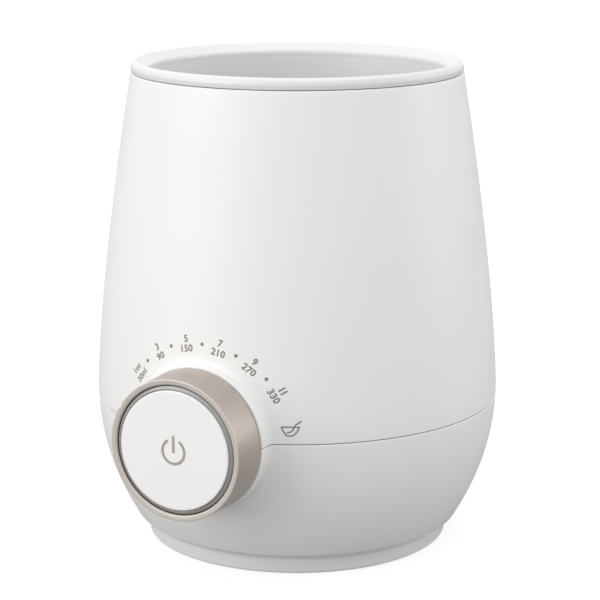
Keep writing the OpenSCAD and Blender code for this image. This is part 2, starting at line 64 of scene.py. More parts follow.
FLANGE_R, FLANGE_Z, FLANGE_TOP_Z = 54.8, 161.5, 163.3
WELL_WALL, WELL_FLOOR_Z, WELL_TOP_Z, WELL_HOLE_R = 1.8, 49.8, 51.8, 37.5
HEATER_R, HEATER_Z, HEATER_RIM_Z, HEATER_TOP_Z = 41.8, 46.4, 48.2, 50.6
DIAL_BASE_R, DIAL_FACE_R, DIAL_BORE_R, DIAL_BASE_U, DIAL_FACE_U = 24.05, 23.58, 21.6, 72.6, 86.3
LIGHT_IN_R, LIGHT_OUT_R, LIGHT_BACK_U, LIGHT_FACE_U = 20.15, 21.28, 79.02, 86.05
LEG_CIRCLE_R, LEG_R, LEG_END_U = 15.0, 1.2, 53.6
BUTTON_R, BUTTON_FACE_U, BUTTON_SKIRT_U, BUTTON_HUB_U = 19.93, 86.6, 81.9, 79.9
SPRING_START_U, SPRING_END_U = 62.5, 83.9
GLAND_Z, GLAND_BORE_R, GLAND_PAD_U = 24.0, 3.4, 66.25
POINTER = -58.0
NOTCH_HALF, NOTCH_DEPTH = 1.2, 0.3


def body_r(z):
    """Outer radius of the body at a height."""
    if z >= BELLY_Z:
        t = (z - BELLY_Z) / (SHOULDER_Z - BELLY_Z)
        return BODY_R - (BODY_R - SHOULDER_R) * t**1.41
    t = (BELLY_Z - z) / (BELLY_Z - SKIRT_Z)
    return BODY_R - SKIRT_DROP * t**2.1


def lerp(a, b, t):
    return a + (b - a) * t


def well_r(z):
    """Inner radius of the well at a height."""
    return lerp(42.0, 51.3, (z - WELL_FLOOR_Z) / (FLANGE_TOP_Z - WELL_FLOOR_Z))


# ------------------------------------------------------------------ mesh helpers
def finish_mesh(name, verts, faces, material, body, sharp=32.0, replaces=(), weighted=True):
    """A mesh object from points in mm, shaded smooth with sharp creases, riding on a body."""
    mesh = bpy.data.meshes.new(name)
    mesh.from_pydata([tuple(c * 0.001 for c in v) for v in verts], [], faces)
    bm = bmesh.new()
    bm.from_mesh(mesh)
    bmesh.ops.remove_doubles(bm, verts=bm.verts, dist=1e-7)
    bmesh.ops.recalc_face_normals(bm, faces=bm.faces)
    bm.to_mesh(mesh)
    bm.free()
    mesh.shade_smooth()
    mesh.set_sharp_from_angle(angle=math.radians(sharp))
    obj = bpy.data.objects.new(name, mesh)
    bpy.context.scene.collection.objects.link(obj)
    mesh.materials.append(material)
    if weighted:
        mod = obj.modifiers.new("normals", "WEIGHTED_NORMAL")
        mod.keep_sharp = True
        mod.weight = 80
    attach(obj, body)
    if replaces:
        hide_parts(*replaces)
    return obj


def rounded(corners, closed=True, step=12.0):
    """Replaces each (x, y, radius) corner of a profile with an arc."""
    out = []
    count = len(corners)
    for i, (x, y, radius) in enumerate(corners):
        ends = not closed and i in (0, count - 1)
        if radius <= 0 or ends:
            out.append((x, y))
            continue
        p = Vector((x, y))
        a = Vector(corners[i - 1][:2]) - p
        b = Vector(corners[(i + 1) % count][:2]) - p
        half = a.angle(b) / 2
        reach = min(radius / math.tan(half), a.length * 0.48, b.length * 0.48)
        radius = reach * math.tan(half)
        a.normalize()
        b.normalize()
        centre = p + (a + b).normalized() * (radius / math.sin(half))
        start, end = p + a * reach - centre, p + b * reach - centre
        turn = start.angle_signed(end)
        n = max(2, math.ceil(abs(math.degrees(turn)) / step))
        for k in range(n + 1):
            out.append(tuple(centre + Matrix.Rotation(-turn * k / n, 2) @ start))
    return out


def z_axis(r, a, h):
    return (r * math.sin(a), -r * math.cos(a), h)


def dial_axis(r, a, u):
    """A point at radius r and angle a (clockwise from up, from the front), u in front of the body's axis."""
    return (r * math.sin(a), -u, SEAM_Z + r * math.cos(a))


def gland_axis(r, a, u):
    return (r * math.sin(a), u, GLAND_Z + r * math.cos(a))


def lathe(profile, count=192, place=z_axis, angles=None, closed=True, shape=None):
    """Turns a profile of (radius, height) points round an axis. shape(r, a, h) may change a radius."""
    turns = angles or [math.tau * i / count for i in range(count)]
    verts, faces, rows = [], [], []
    for r, h in profile:
        if r < 1e-6:
            rows.append([len(verts)] * len(turns))
            verts.append(place(0, 0, h))
            continue
        rows.append(list(range(len(verts), len(verts) + len(turns))))
        for a in turns:
            verts.append(place(shape(r, a, h) if shape else r, a, h))
    pairs = list(zip(rows, rows[1:]))
    if closed:
        pairs.append((rows[-1], rows[0]))
    for low, high in pairs:
        for i in range(len(turns)):
            j = (i + 1) % len(turns)
            face = list(dict.fromkeys([low[i], low[j], high[j], high[i]]))
            if len(face) > 2:
                faces.append(face)
    return verts, faces


# ------------------------------------------------------------------ node materials
def node_material(name):
    m = bpy.data.materials.new(name)
    m.use_nodes = True
    return m, m.node_tree, m.node_tree.nodes["Principled BSDF"]


def noise(tree, vector, scale, detail=3.0, rough=0.5):
    n = tree.nodes.new("ShaderNodeTexNoise")
    n.inputs["Scale"].default_value = scale
    n.inputs["Detail"].default_value = detail
    n.inputs["Roughness"].default_value = rough
    tree.links.new(vector, n.inputs["Vector"])
    return n.outputs["Fac"]


def ramp(tree, fac, low, high, a, b):
    """Maps a factor from low..high onto the colours a..b."""
    n = tree.nodes.new("ShaderNodeValToRGB")
    n.color_ramp.elements[0].position = low
    n.color_ramp.elements[1].position = high
    n.color_ramp.elements[0].color = (*a, 1)
    n.color_ramp.elements[1].color = (*b, 1)
    tree.links.new(fac, n.inputs["Fac"])
    return n.outputs["Color"]


def spread(tree, fac, a, b):
    n = tree.nodes.new("ShaderNodeMapRange")
    n.inputs["From Min"].default_value = 0.3
    n.inputs["From Max"].default_value = 0.7
    n.inputs["To Min"].default_value = a
    n.inputs["To Max"].default_value = b
    tree.links.new(fac, n.inputs["Value"])
    return n.outputs["Result"]


def bump(tree, bsdf, heights):
    """Stacks bump layers: (height socket, strength, distance in metres)."""
    normal = None
    for height, strength, distance in heights:
        n = tree.nodes.new("ShaderNodeBump")
        n.inputs["Strength"].default_value = strength
        n.inputs["Distance"].default_value = distance
        tree.links.new(height, n.inputs["Height"])
        if normal is not None:
            tree.links.new(normal, n.inputs["Normal"])
        normal = n.outputs["Normal"]
    tree.links.new(normal, bsdf.inputs["Normal"])


def shade(c, k):
    return tuple(min(1.0, v * k) for v in c)


def plastic(name, colour, rough=0.4, vary=0.03, grain=0.12, scale=2600.0, metal=0.0):
    """Moulded plastic: faint colour drift, uneven gloss and a fine moulded grain."""
    m, t, b = node_material(name)
    at = t.nodes.new("ShaderNodeTexCoord").outputs["Object"]
    drift = noise(t, at, 9.0, 4.0, 0.55)
    colour_out = ramp(t, drift, 0.3, 0.7, shade(colour, 1 - vary), shade(colour, 1 + vary))
    t.links.new(colour_out, b.inputs["Base Color"])
    smear = noise(t, at, 60.0, 5.0, 0.6)
    t.links.new(spread(t, smear, rough - 0.05, rough + 0.05), b.inputs["Roughness"])
    b.inputs["Metallic"].default_value = metal
    fine = noise(t, at, scale, 2.0, 0.5)
    wave = noise(t, at, 38.0, 2.0, 0.4)
    bump(t, b, [(wave, 0.18, 0.0002), (fine, grain, 0.00004)])
    return m


def metal(name, colour, rough):
    """Drawn or plated metal: a fine uneven gloss and small stains in the colour."""
    m, t, b = node_material(name)
    at = t.nodes.new("ShaderNodeTexCoord").outputs["Object"]
    gloss = noise(t, at, 900.0, 3.0, 0.6)
    stain = noise(t, at, 70.0, 4.0, 0.6)
    t.links.new(ramp(t, stain, 0.3, 0.75, shade(colour, 0.9), colour), b.inputs["Base Color"])
    t.links.new(spread(t, gloss, rough - 0.08, rough + 0.1), b.inputs["Roughness"])
    b.inputs["Metallic"].default_value = 1.0
    bump(t, b, [(gloss, 0.25, 0.00003)])
    return m


def turned_metal(name, colour, rough):
    """A disc spun flat: fine rings round the body's axis, stained a little by boiled water."""
    m, t, b = node_material(name)
    at = t.nodes.new("ShaderNodeTexCoord").outputs["Object"]
    split = t.nodes.new("ShaderNodeSeparateXYZ")
    t.links.new(at, split.inputs["Vector"])
    join = t.nodes.new("ShaderNodeCombineXYZ")
    t.links.new(split.outputs["X"], join.inputs["X"])
    t.links.new(split.outputs["Y"], join.inputs["Y"])
    length = t.nodes.new("ShaderNodeVectorMath")
    length.operation = "LENGTH"
    t.links.new(join.outputs["Vector"], length.inputs[0])
    rings = t.nodes.new("ShaderNodeTexNoise")
    rings.noise_dimensions = "1D"
    rings.inputs["Scale"].default_value = 2600.0
    rings.inputs["Detail"].default_value = 2.0
    t.links.new(length.outputs["Value"], rings.inputs["W"])
    stain = noise(t, at, 55.0, 5.0, 0.65)
    t.links.new(ramp(t, stain, 0.35, 0.7, shade(colour, 0.84), colour), b.inputs["Base Color"])
    t.links.new(spread(t, rings.outputs["Fac"], rough - 0.08, rough + 0.12), b.inputs["Roughness"])
    b.inputs["Metallic"].default_value = 1.0
    b.inputs["Anisotropic"].default_value = 0.5
    bump(t, b, [(rings.outputs["Fac"], 0.35, 0.00004)])
    return m


def rubber(name, colour, rough=0.75):
    m, t, b = node_material(name)
    at = t.nodes.new("ShaderNodeTexCoord").outputs["Object"]
    dust = noise(t, at, 140.0, 5.0, 0.7)
    t.links.new(ramp(t, dust, 0.35, 0.75, colour, shade(colour, 1.35)), b.inputs["Base Color"])
    t.links.new(spread(t, dust, rough - 0.1, rough + 0.1), b.inputs["Roughness"])
    b.inputs["Specular IOR Level"].default_value = 0.3
    bump(t, b, [(noise(t, at, 1800.0, 2.0, 0.5), 0.3, 0.00006)])
    return m


def board(name, colour):
    """Solder mask over woven glass, with copper showing through as lighter lanes."""
    m, t, b = node_material(name)
    at = t.nodes.new("ShaderNodeTexCoord").outputs["Object"]
    lanes = t.nodes.new("ShaderNodeTexBrick")
    lanes.inputs["Scale"].default_value = 160.0
    lanes.inputs["Mortar Size"].default_value = 0.03
    lanes.inputs["Color1"].default_value = (*colour, 1)
    lanes.inputs["Color2"].default_value = (*shade(colour, 1.25), 1)
    lanes.inputs["Mortar"].default_value = (*shade(colour, 1.9), 1)
    t.links.new(at, lanes.inputs["Vector"])
    t.links.new(lanes.outputs["Color"], b.inputs["Base Color"])
    t.links.new(spread(t, noise(t, at, 300.0), 0.28, 0.42), b.inputs["Roughness"])
    bump(t, b, [(lanes.outputs["Fac"], 0.2, 0.00003)])
    return m


def ink(name, colour):
    """Pad-printed ink: slightly uneven cover and a matt skin."""
    m, t, b = node_material(name)
    at = t.nodes.new("ShaderNodeTexCoord").outputs["Object"]
    cover = noise(t, at, 1500.0, 3.0, 0.6)
    t.links.new(ramp(t, cover, 0.3, 0.7, shade(colour, 0.93), shade(colour, 1.07)), b.inputs["Base Color"])
    t.links.new(spread(t, cover, 0.5, 0.62), b.inputs["Roughness"])
    bump(t, b, [(cover, 0.1, 0.00002)])
    return m


white = plastic("satin_white", (0.825, 0.82, 0.812), rough=0.42, vary=0.012, grain=0.1)
# The rim's white plastic, made darker than the body's white to paint in the shade that falls on the upright
# rim band
rim_white = plastic("rim_white", (0.74, 0.737, 0.734), rough=0.34, vary=0.012, grain=0.05)
well_white = plastic("well_white", (0.68, 0.68, 0.685), rough=0.38, vary=0.02, grain=0.08)
button_white = plastic("button_white", (0.86, 0.855, 0.845), rough=0.45, vary=0.012, grain=0.12)
taupe = plastic("taupe_dial", (0.50, 0.44, 0.40), rough=0.36, grain=0.06, metal=0.75)
taupe_lip = plastic("taupe_lip", (0.60, 0.558, 0.515), rough=0.38, vary=0.02, grain=0.02, metal=0.35)
diffuser = plastic("light_ring", (0.335, 0.33, 0.325), rough=0.36, vary=0.04, grain=0.05, metal=0.3)
# The foot's white plastic, made darker to paint in the shade near the floor and under the crease above it
foot_white_painted_shade = plastic("foot_white_painted_shade", (0.76, 0.76, 0.765), rough=0.45, vary=0.015, grain=0.12)
mark_ink = ink("mark_ink", (0.235, 0.222, 0.212))
icon_ink = ink("icon_ink", (0.37, 0.34, 0.32))
spun_steel = turned_metal("spun_steel", (0.62, 0.62, 0.61), 0.28)
grip_rubber = rubber("grip_rubber", (0.16, 0.165, 0.17))
gland_rubber = rubber("gland_rubber", (0.62, 0.62, 0.625), rough=0.6)


# ------------------------------------------------------------------ shells with the dial boss
def boss_shell(name, side, replaced):
    """Half of the body, above (side 1) or below (side -1) the seam, with its half of the dial boss."""
    edge_r, edge_steps = 0.32, 4
    seam_rows = [
        (edge_r * (1 - math.cos(a)), edge_r * (1 - math.sin(a)))
        for a in [math.pi / 2 * k / edge_steps for k in range(edge_steps + 1)]
    ]
    patch_h, patch_rows = 33.0, 12
    start = SEAM_HALF + edge_r
    rows = [(SEAM_Z + side * (SEAM_HALF + dz), inset) for dz, inset in seam_rows]
    rows += [
        (SEAM_Z + side * (start + (patch_h - start) * k / patch_rows), 0.0)
        for k in range(1, patch_rows + 1)
    ]
    last_patch = len(rows) - 1
    outer = [(body_r(z) - inset, z) for z, inset in rows]
    inner = [(body_r(z) - WALL, z) for z, _ in rows]
    z_patch = rows[-1][0]
    if side > 0:
        rest = [lerp(z_patch, SHOULDER_Z - 0.5, k / 34) for k in range(1, 35)]
        outer += [(body_r(z), z) for z in rest]
        outer += [
            (body_r(SHOULDER_Z) - 0.5 * (1 - math.cos(a)), SHOULDER_Z - 0.5 * (1 - math.sin(a)))
            for a in [math.pi / 2 * k / 4 for k in range(1, 5)]
        ]
        tail = [(body_r(SHOULDER_Z) - WALL, SHOULDER_Z)]
        tail += [(body_r(z) - WALL, z) for z in reversed(rest)]
    else:
        rest = [lerp(z_patch, SKIRT_Z + 1.1, k / 8) for k in range(1, 9)]
        outer += [(body_r(z), z) for z in rest]
        curl = rounded(
            [
                (body_r(rest[-1]), rest[-1], 0),
                (body_r(SKIRT_Z) - 0.2, FLOOR_Z, 3.2),
                (FOOT_R + 1.2, FLOOR_Z, 0),
            ],
            closed=False,
            step=9.0,
        )
        outer += curl[1:]
        tail = [(FLOOR_HOLE_R, FLOOR_Z), (FLOOR_HOLE_R, FLOOR_TOP_Z)]
        tail += [(body_r(FLOOR_TOP_Z) - WALL, FLOOR_TOP_Z)]
        tail += [(body_r(z) - WALL, z) for z in reversed(rest) if z > FLOOR_TOP_Z + 0.5]
    section = outer + tail + list(reversed(inner))
    length = len(section)
    columns, half = 240, 20
    step = math.tau / columns
    verts, faces, index = [], [], {}

    def grid(i, s):
        key = (i % columns, s)
        if key not in index:
            index[key] = len(verts)
            r, z = section[s]
            verts.append(z_axis(r, i * step, z))
        return index[key]

    def in_patch(s):
        other = (s + 1) % length
        low = s <= last_patch and other <= last_patch
        high = s >= length - 1 - last_patch and (other >= length - 1 - last_patch or other == 0)
        return low or high

    for i in range(-half, columns - half):
        for s in range(length):
            if i < half and in_patch(s):
                continue
            after = (s + 1) % length
            faces.append([grid(i, s), grid(i + 1, s), grid(i + 1, after), grid(i, after)])

    border = [(half, j) for j in range(last_patch + 1)]
    border += [(i, last_patch) for i in range(half - 1, -half - 1, -1)]
    border += [(-half, j) for j in range(last_patch - 1, -1, -1)]

    def surface(x, z, inset=0.0):
        return math.sqrt((body_r(z) - inset) ** 2 - x * x)

    previous = None
    for entry, (i, j) in enumerate(border):
        seam_row = j < len(seam_rows) and abs(i) == half
        inset = seam_rows[j][1] if seam_row else 0.0
        y_row = SEAM_HALF + seam_rows[j][0] if seam_row else 0.0
        r_edge, z_edge = section[j]
        x_edge = r_edge * math.sin(i * step)
        y_edge = abs(z_edge - SEAM_Z)
        flip = 1.0 if i > 0 else -1.0
        aim = math.atan2(y_edge, x_edge)

        def at(rho):
            if seam_row:
                return flip * math.sqrt(rho * rho - y_row * y_row), y_row
            return rho * math.cos(aim), rho * math.sin(aim)

        def depth(rho, deep):
            x, y = at(rho)
            return surface(x, SEAM_Z + side * y, deep)

        centre = BOSS_R + BOSS_FILLET
        radius = BOSS_FILLET + inset
        touch = centre
        for _ in range(6):
            m = (depth(touch + 0.02, inset) - depth(touch - 0.02, inset)) / 0.04
            root = math.sqrt(1 + m * m)
            touch = centre + radius * m / root
        u_centre = depth(touch, inset) + radius / root
        stop = math.atan2(-1.0, m)
        if stop < 0:
            stop += math.tau
        x0, y0 = at(touch)
        path = []
        for k in range(1, 9):
            t = 1 - (1 - k / 8) ** 0.8 if k < 8 else 1.0
            x, y = lerp(x_edge, x0, t), lerp(y_edge, y0, t)
            path.append((x, y, surface(x, SEAM_Z + side * y, inset)))
        for k in range(1, 9):
            a = lerp(stop, math.pi, k / 8)
            rho = centre + radius * math.cos(a)
            path.append((*at(rho), u_centre + radius * math.sin(a)))
        lip, bore_lip = 0.55, 0.45
        for k in range(7):
            a = math.pi / 2 * k / 6
            u = BOSS_FACE - lip + (lip - inset) * math.sin(a)
            path.append((*at(BOSS_R - lip + (lip - inset) * math.cos(a)), u))
        for k in range(5):
            a = math.pi / 2 + math.pi / 2 * k / 4
            u = BOSS_FACE - bore_lip + (bore_lip - inset) * math.sin(a)
            path.append((*at(BOSS_BORE_R + bore_lip + (bore_lip - inset) * math.cos(a)), u))
        path.append((*at(BOSS_BORE_R + inset), BOSS_BACK + 4.0))
        path.append((*at(BOSS_BORE_R + inset), BOSS_BACK))
        path.append((*at(BOSS_R), BOSS_BACK))
        xi, yi = at(BOSS_R + 0.2)
        path.append((xi, yi, surface(xi, SEAM_Z + side * yi, WALL)))
        x_in = (body_r(z_edge) - WALL) * math.sin(i * step)
        for k in range(1, 4):
            x, y = lerp(xi, x_in, k / 4), lerp(yi, y_edge, k / 4)
            path.append((x, y, surface(x, SEAM_Z + side * y, WALL)))
        ring = [grid(i, j)]
        for x, y, u in path:
            ring.append(len(verts))
            verts.append((x, -u, SEAM_Z + side * y))
        ring.append(grid(i, length - 1 - j))
        if entry in (0, len(border) - 1):
            faces.append(list(ring))
        if previous:
            for a, b, c, d in zip(previous, previous[1:], ring[1:], ring):
                faces.append([a, b, c, d])
        previous = ring
    return finish_mesh(name, verts, faces, white, "housing", sharp=40, replaces=replaced)


boss_shell("upper_housing", 1, ["upper_shell"])
boss_shell("lower_housing", -1, ["lower_shell"])


# ------------------------------------------------------------------ rim, well and heated plate
rim = rounded([
    (51.4, FLANGE_TOP_Z + 0.03, 0.04), (FLANGE_R, FLANGE_TOP_Z + 0.03, 0.0), (FLANGE_R, SEAT_Z, 0.1),
    (57.05, SEAT_Z, 0.3), (57.25, 165.7, 2.0), (56.75, 167.25, 1.6), (CREST_R, CREST_Z, 0.9),
    (51.3, 165.15, 1.6),
], step=8.0)
finish_mesh("rim_bead", *lathe(rim, 240), rim_white, "housing", replaces=["rim_ring"])

well = rounded([
    (WELL_HOLE_R, WELL_FLOOR_Z, 0.2), (well_r(WELL_FLOOR_Z) + WELL_WALL, WELL_FLOOR_Z, 0.6),
    (well_r(FLANGE_Z) + WELL_WALL, FLANGE_Z, 0.6), (FLANGE_R, FLANGE_Z, 0.2), (FLANGE_R, FLANGE_TOP_Z, 0.2),
    (well_r(FLANGE_TOP_Z), FLANGE_TOP_Z, 0.08), (well_r(WELL_TOP_Z), WELL_TOP_Z, 3.0),
    (WELL_HOLE_R, WELL_TOP_Z, 0.5),
], step=8.0)
finish_mesh("well_liner", *lathe(well, 240), well_white, "housing", sharp=25, replaces=["water_chamber"])

plate = rounded([
    (0, HEATER_Z, 0), (HEATER_R, HEATER_Z, 0.3), (HEATER_R, HEATER_RIM_Z, 0.2),
    (WELL_HOLE_R - 0.3, HEATER_RIM_Z, 0.3), (WELL_HOLE_R - 0.3, HEATER_TOP_Z, 0.6),
    (33.5, HEATER_TOP_Z, 0.5), (32.5, HEATER_TOP_Z - 0.5, 0.5), (0, HEATER_TOP_Z - 0.5, 0),
], closed=False)
finish_mesh("heated_plate", *lathe(plate, 192, closed=False), spun_steel, "housing",
            replaces=["heater_plate"])


# ------------------------------------------------------------------ foot
foot = rounded([
    (0, PLATE_Z, 0), (50.3, PLATE_Z, 0.3), (50.8, 0.25, 0.35), (FOOT_R - 0.2, 0.25, 0.9),
    (FOOT_R, 5.4, 2.4), (FOOT_R + 1.1, FLOOR_Z - 0.2, 0.1), (51.0, FLOOR_Z - 0.15, 0.3),
    (50.8, PLATE_TOP_Z, 0.8), (0, PLATE_TOP_Z, 0),
], closed=False, step=9.0)
base = finish_mesh("base_plate", *lathe(foot, 240, closed=False), foot_white_painted_shade, "housing", weighted=False)


def cutter(verts, faces):
    mesh = bpy.data.meshes.new("cut")
    mesh.from_pydata([tuple(c * 0.001 for c in v) for v in verts], [], faces)
    bm = bmesh.new()
    bm.from_mesh(mesh)
    bmesh.ops.recalc_face_normals(bm, faces=bm.faces)
    bm.to_mesh(mesh)
    bm.free()
    obj = bpy.data.objects.new("cut", mesh)
    bpy.context.scene.collection.objects.link(obj)
    return obj


def prism(outline, low, high):
    n = len(outline)
    verts = [(x, y, low) for x, y in outline] + [(x, y, high) for x, y in outline]
    faces = [list(range(n)), list(range(2 * n - 1, n - 1, -1))]
    faces += [[i, (i + 1) % n, n + (i + 1) % n, n + i] for i in range(n)]
    return verts, faces


def capsule(inner, outer, half_w, turn):
    pts = []
    for centre, first in ((outer - half_w, -90), (inner + half_w, 90)):
        for k in range(9):
            a = math.radians(first + 180 * k / 8)
            pts.append((centre + half_w * math.cos(a), half_w * math.sin(a)))
    c, s = math.cos(turn), math.sin(turn)
    return [(x * c - y * s, x * s + y * c) for x, y in pts]


def circle(cx, cy, r, n=32):
    return [(cx + r * math.cos(math.tau * k / n), cy + r * math.sin(math.tau * k / n)) for k in range(n)]


def cut(obj, shapes):
    verts, faces = [], []
    for v, f in shapes:
        faces += [[k + len(verts) for k in face] for face in f]
        verts += v
    tool = cutter(verts, faces)
    mod = obj.modifiers.new("cut", "BOOLEAN")
    mod.object = tool
    mod.operation = "DIFFERENCE"
    mod.solver = "EXACT"
    bpy.context.view_layer.update()
    solid = bpy.data.meshes.new_from_object(obj.evaluated_get(bpy.context.evaluated_depsgraph_get()))
    obj.modifiers.clear()
    obj.data = solid
    bpy.data.objects.remove(tool)
    solid.shade_smooth()
    solid.set_sharp_from_angle(angle=math.radians(30))
    return obj


slots = [prism(capsule(14, 28, 1.25, math.radians(15 + 30 * k)), 0, 9) for k in range(12)]
quarters = [math.pi / 2 * k for k in range(4)]
holes = [prism(circle(47 * math.cos(a), 47 * math.sin(a), 3.1), -1, 5.0) for a in quarters]
groove = lathe([(GROOVE_IN_R, -1), (GROOVE_OUT_R, -1), (GROOVE_OUT_R, 3.0), (GROOVE_IN_R, 3.0)], 128)
for shapes in (slots, holes, [groove]):
    cut(base, shapes)
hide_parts("base_cover")

grip_in, grip_out = GROOVE_IN_R + 0.1, GROOVE_OUT_R - 0.1
grip = rounded([(grip_in, 0.0, 0.6), (grip_out, 0.0, 0.6), (grip_out, 2.95, 0.2), (grip_in, 2.95, 0.2)])
finish_mesh("grip_ring", *lathe(grip, 160), grip_rubber, "housing", replaces=["foot_ring"])


# ------------------------------------------------------------------ dial, light ring and button
def notched(r, a, u):
    """A shallow pointer groove down the side of the dial."""
    off = math.remainder(a - math.radians(POINTER), math.tau)
    across = r * math.sin(off)
    if abs(off) > 0.2 or r < DIAL_BORE_R + 1:
        return r
    return r - NOTCH_DEPTH * max(0.0, 1 - (abs(across) / NOTCH_HALF) ** 4)


fine = [math.radians(POINTER) + math.radians(d) for d in np.arange(-4.0, 4.01, 0.25)]
coarse = [math.radians(POINTER) + math.radians(d) for d in np.arange(6.0, 354.1, 2.0)]
ring = rounded([
    (DIAL_BORE_R, DIAL_BASE_U, 0.2), (DIAL_BASE_R, DIAL_BASE_U, 0.35), (DIAL_FACE_R, DIAL_FACE_U, 0.6),
    (22.9, DIAL_FACE_U - 0.04, 0.4), (22.0, DIAL_FACE_U - 0.1, 0.4), (DIAL_BORE_R, DIAL_FACE_U - 0.6, 0.2),
], step=10.0)
turned = lathe(ring, place=dial_axis, angles=fine + coarse, shape=notched)
dial = finish_mesh("dial_knob", *turned, taupe, "dial", sharp=28, replaces=["dial_ring"])
dial.data.materials.append(taupe_lip)
for face in dial.data.polygons:
    if -face.center.y * 1000 > DIAL_FACE_U - 0.5:
        face.material_index = 1

light = rounded([
    (13.4, LIGHT_BACK_U, 0.1), (21.1, LIGHT_BACK_U, 0.1), (21.1, 82.0, 0.5),
    (LIGHT_OUT_R, LIGHT_FACE_U - 0.6, 0.15), (LIGHT_IN_R, LIGHT_FACE_U, 0.12),
    (20.1, 80.2, 0.3), (13.4, 80.2, 0.1),
])
lv, lf = lathe(light, 160, place=dial_axis)
for k in range(4):
    a0 = math.radians(45 + 90 * k)
    cx, cy = LEG_CIRCLE_R * math.sin(a0), LEG_CIRCLE_R * math.cos(a0)
    leg_root = LIGHT_BACK_U + 0.08
    outline = [(0, LEG_END_U, 0), (LEG_R, LEG_END_U, 0.25), (LEG_R, leg_root, 0), (0, leg_root, 0)]
    leg = rounded(outline, closed=False)

    def leg_place(r, a, u, cx=cx, cy=cy):
        return (cx + r * math.sin(a), -u, SEAM_Z + cy + r * math.cos(a))

    v, f = lathe(leg, 24, place=leg_place, closed=False)
    lf += [[q + len(lv) for q in face] for face in f]
    lv += v
finish_mesh("light_ring_guide", lv, lf, diffuser, "housing", replaces=["light_guide"])

# The button's face is very slightly crowned
FACE = [(r, BUTTON_FACE_U - fall) for r, fall in ((0, 0.0), (8, 0.01), (14, 0.03), (18.9, 0.08))]


def face_u(r):
    """How far in front of the body's axis the button's face is, at a radius."""
    for (r0, u0), (r1, u1) in zip(FACE, FACE[1:]):
        if r <= r1:
            return lerp(u0, u1, (r - r0) / (r1 - r0))
    return FACE[-1][1]


cap = rounded([
    (0, BUTTON_HUB_U, 0), (4.4, BUTTON_HUB_U, 0.2), (4.4, 84.4, 0.5), (18.3, 84.4, 0.5),
    (18.3, BUTTON_SKIRT_U, 0.15), (BUTTON_R, BUTTON_SKIRT_U, 0.15), (BUTTON_R, BUTTON_FACE_U - 0.1, 0.7),
    (*FACE[3], 0.5), (*FACE[2], 0), (*FACE[1], 0), (*FACE[0], 0),
], closed=False, step=10.0)
finish_mesh("button_cap", *lathe(cap, 160, place=dial_axis, closed=False), button_white, "button",
            replaces=["power_button"])

gland = rounded([
    (GLAND_BORE_R, 59.2, 0.3), (6.6, 58.4, 0.3), (6.6, 60.1, 0.3), (5.1, 60.1, 0.1), (5.1, GLAND_PAD_U, 0.1),
    (7.4, GLAND_PAD_U, 0.15), (7.4, 67.0, 0.5), (5.4, 68.0, 0.5), (GLAND_BORE_R, 68.0, 0.4),
])
finish_mesh("cord_grommet", *lathe(gland, 96, place=gland_axis), gland_rubber, "housing",
            replaces=["cord_gland"])


# ------------------------------------------------------------------ printed marks
def curve_through(points, steps=8):
    """A smooth path through points in one plane."""
    p = [Vector(q) for q in points]
    p = [2 * p[0] - p[1], *p, 2 * p[-1] - p[-2]]
    out = []
    for a, b, c, d in zip(p, p[1:], p[2:], p[3:]):
        for k in range(steps):
            t = k / steps
            out.append(0.5 * (2 * b + (c - a) * t + (2 * a - 5 * b + 4 * c - d) * t * t
                              + (3 * b - a - 3 * c + d) * t**3))
    return [tuple(q) for q in out] + [tuple(p[-2])]


def ribbon(points, width, cap=6, longest=0.5):
    """A stroke of constant width with round ends, as flat polygons in one plane."""
    pts = [Vector(points[0])]
    for q in points[1:]:
        start, goal = pts[-1], Vector(q)
        parts = max(1, math.ceil((goal - start).length / longest))
        pts += [start.lerp(goal, k / parts) for k in range(1, parts + 1)]
    left, right = [], []
    for k, p in enumerate(pts):
        a, b = pts[max(0, k - 1)], pts[min(len(pts) - 1, k + 1)]
        d = (b - a).normalized()
        n = Vector((-d.y, d.x)) * width / 2
        left.append(p + n)
        right.append(p - n)
    d0 = (pts[1] - pts[0]).normalized()
    d1 = (pts[-1] - pts[-2]).normalized()

    def end(centre, d):
        a0 = math.atan2(d.y, d.x)
        return [centre + Vector((math.cos(a0 + t), math.sin(a0 + t))) * width / 2
                for t in [math.pi / 2 - math.pi * k / cap for k in range(1, cap)]]

    verts = left + end(pts[-1], d1) + list(reversed(right)) + end(pts[0], -d0)
    n = len(pts)
    order = list(range(len(verts)))
    back = len(left) + cap - 1
    faces = [[k, k + 1, back + n - 2 - k, back + n - 1 - k] for k in range(n - 1)]
    tip = [n - 1] + order[n:n + cap - 1] + [n + cap - 1]
    tail = [n + cap - 1 + n - 1] + order[2 * n + cap - 1:] + [0]
    return [tuple(v) for v in verts], faces + [tip, tail]


def joined(shapes):
    verts, faces = [], []
    for v, f in shapes:
        faces += [[k + len(verts) for k in face] for face in f]
        verts += list(v)
    return verts, faces


def printed(name, shapes, place, material, body, lift=0.035):
    """Flat shapes laid on a surface as a thin raised print. place(x, y, h) puts a point there."""
    verts, faces = joined(shapes)
    mesh = bpy.data.meshes.new(name)
    bm = bmesh.new()
    made = [bm.verts.new((x, y, 0)) for x, y in verts]
    for f in faces:
        if len(set(f)) > 2:
            bm.faces.new([made[k] for k in f])
    bmesh.ops.recalc_face_normals(bm, faces=bm.faces)
    bmesh.ops.remove_doubles(bm, verts=bm.verts, dist=1e-4)
    out = bmesh.ops.extrude_face_region(bm, geom=list(bm.faces))
    for v in out["geom"]:
        if isinstance(v, bmesh.types.BMVert):
            v.co.z = 1
    bmesh.ops.recalc_face_normals(bm, faces=bm.faces)
    for v in bm.verts:
        v.co = Vector(place(v.co.x, v.co.y, lift if v.co.z > 0.5 else -0.03)) * 0.001
    bm.to_mesh(mesh)
    bm.free()
    mesh.set_sharp_from_angle(angle=math.radians(30))
    obj = bpy.data.objects.new(name, mesh)
    bpy.context.scene.collection.objects.link(obj)
    mesh.materials.append(material)
    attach(obj, body)
    return obj


